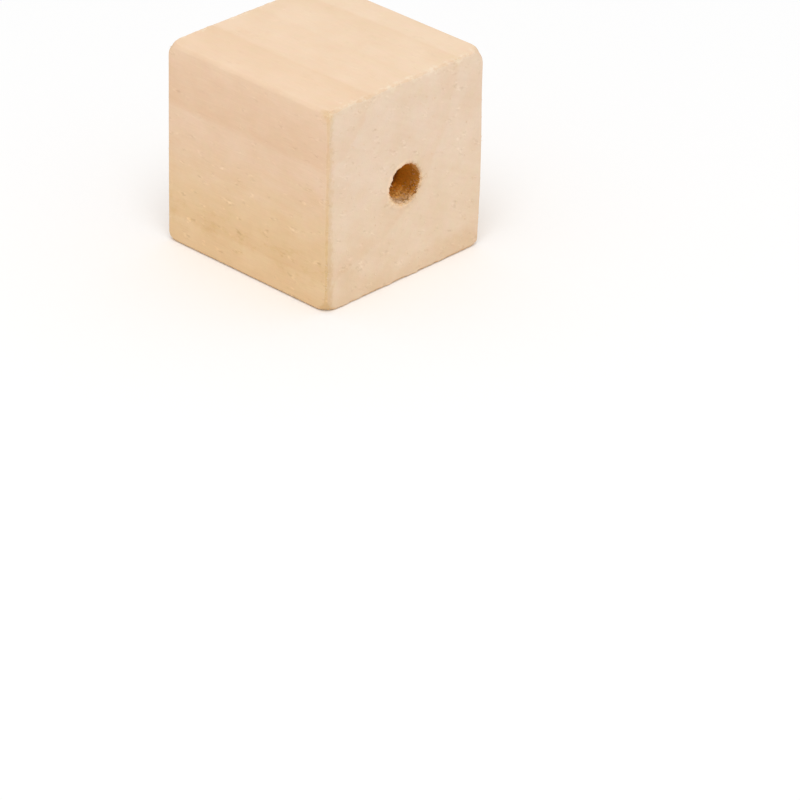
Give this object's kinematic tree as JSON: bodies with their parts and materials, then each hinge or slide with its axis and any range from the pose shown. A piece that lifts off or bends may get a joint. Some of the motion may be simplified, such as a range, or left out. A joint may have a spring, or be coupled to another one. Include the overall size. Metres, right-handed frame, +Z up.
{
  "type": "wooden cube bead",
  "caption": "Small bare pale wood cube with lightly rounded edges and a round cord hole drilled right through it along the grain.",
  "frame": {"origin": "centre of the base, on the surface that the bead stands on", "axes": "+X along the grain and the cord hole, out of one sawn end; +Z up, out of the top"},
  "size_m": [0.0206, 0.02, 0.02],
  "materials": {
    "wood": "matte"
  },
  "bodies": {
    "root": {"cube_bead": "wood"}
  },
  "joints": []
}
